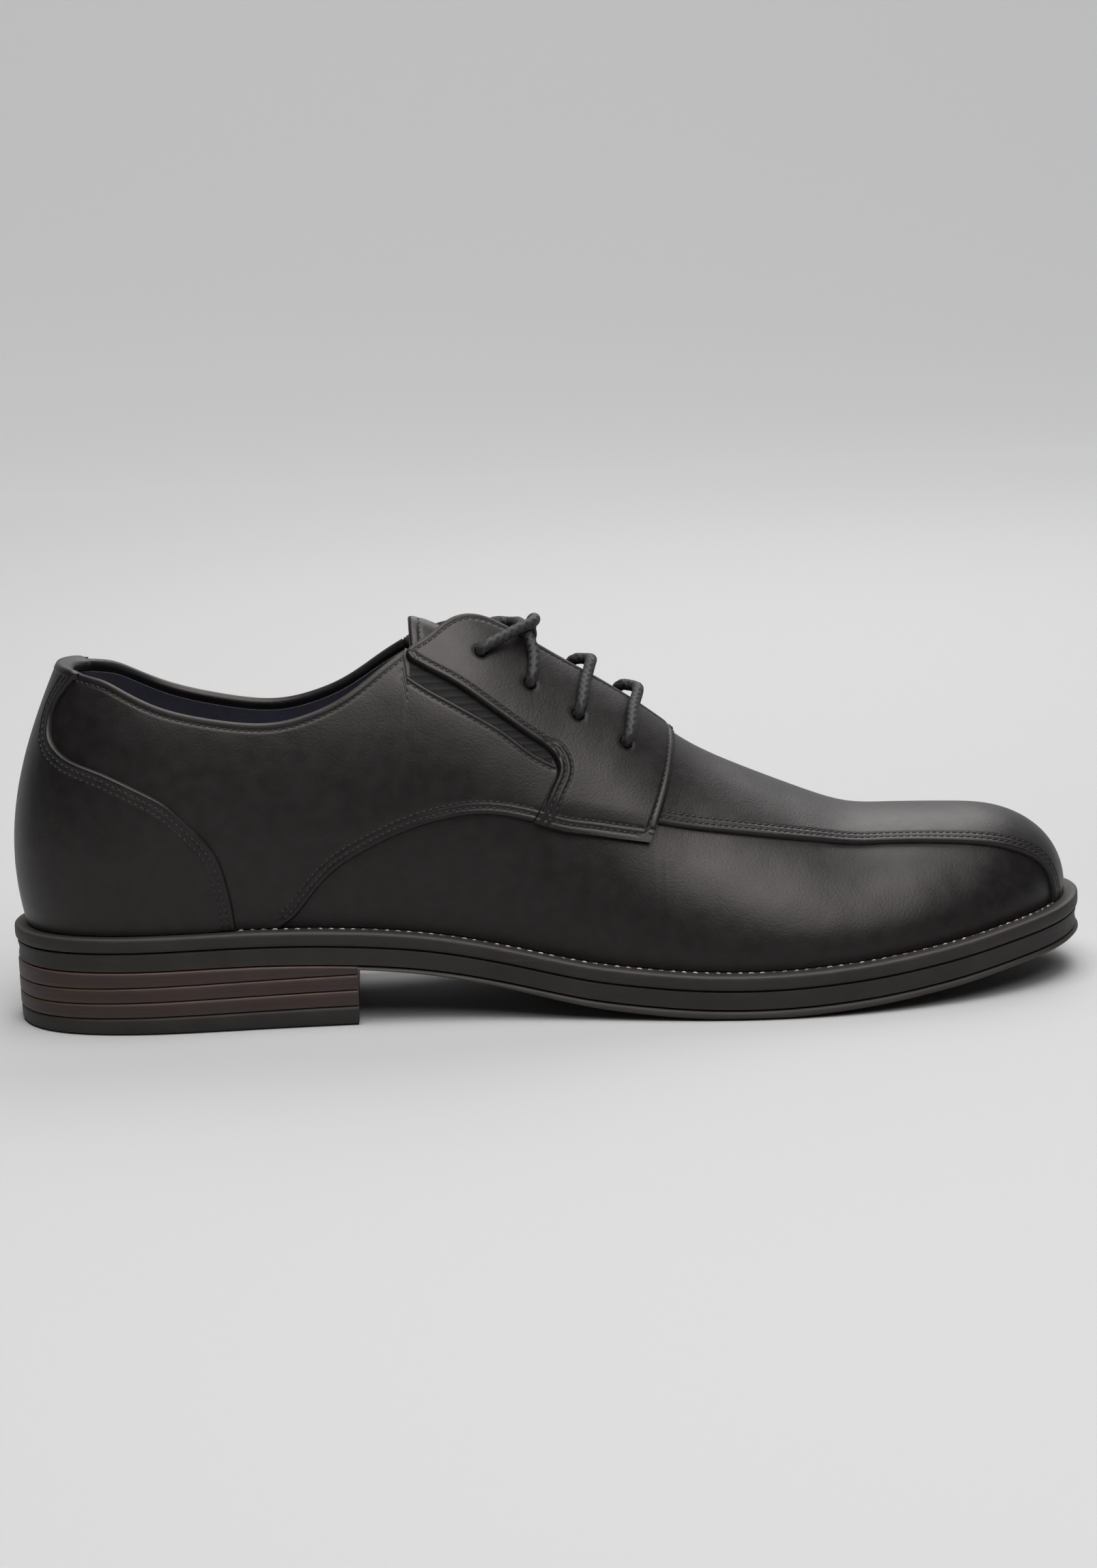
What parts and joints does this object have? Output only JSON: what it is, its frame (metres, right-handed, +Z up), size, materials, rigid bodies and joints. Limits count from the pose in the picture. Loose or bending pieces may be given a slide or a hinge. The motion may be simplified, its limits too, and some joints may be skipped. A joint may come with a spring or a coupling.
{
  "type": "bicycle toe dress shoe",
  "caption": "Men's black leather lace-up dress shoe for the right foot, with two seams round the toe, overlaid heel counter and stacked brown heel.",
  "frame": {"origin": "on the floor, under the middle of the sole's outline", "axes": "+X to the toe, +Y to the inner side of the foot, +Z up"},
  "size_m": [0.305, 0.104, 0.1102],
  "materials": {
    "black_leather": "smooth polished grain, satin",
    "black_elastic": "ribbed elastic, matte",
    "navy_lining": "soft textile lining",
    "black_sole": "matte moulded sole",
    "brown_heel": "dark brown stacked look, matte",
    "waxed_lace": "round braided waxed cotton"
  },
  "bodies": {
    "root": {"upper": "black_leather", "vamp_strip": "black_leather", "quarter_lateral": "black_leather", "quarter_medial": "black_leather", "facing_lateral": "black_leather", "facing_medial": "black_leather", "counter": "black_leather", "tongue": "black_leather", "gore_lateral": "black_elastic", "gore_medial": "black_elastic", "insole": "navy_lining", "welt": "black_sole", "midsole": "black_sole", "outsole": "black_sole", "heel_lift_1": "brown_heel", "heel_lift_2": "brown_heel", "heel_lift_3": "brown_heel", "top_lift": "black_sole", "lace_crossing": "waxed_lace", "lace_bar_1": "waxed_lace", "lace_bar_2": "waxed_lace"}
  },
  "joints": []
}
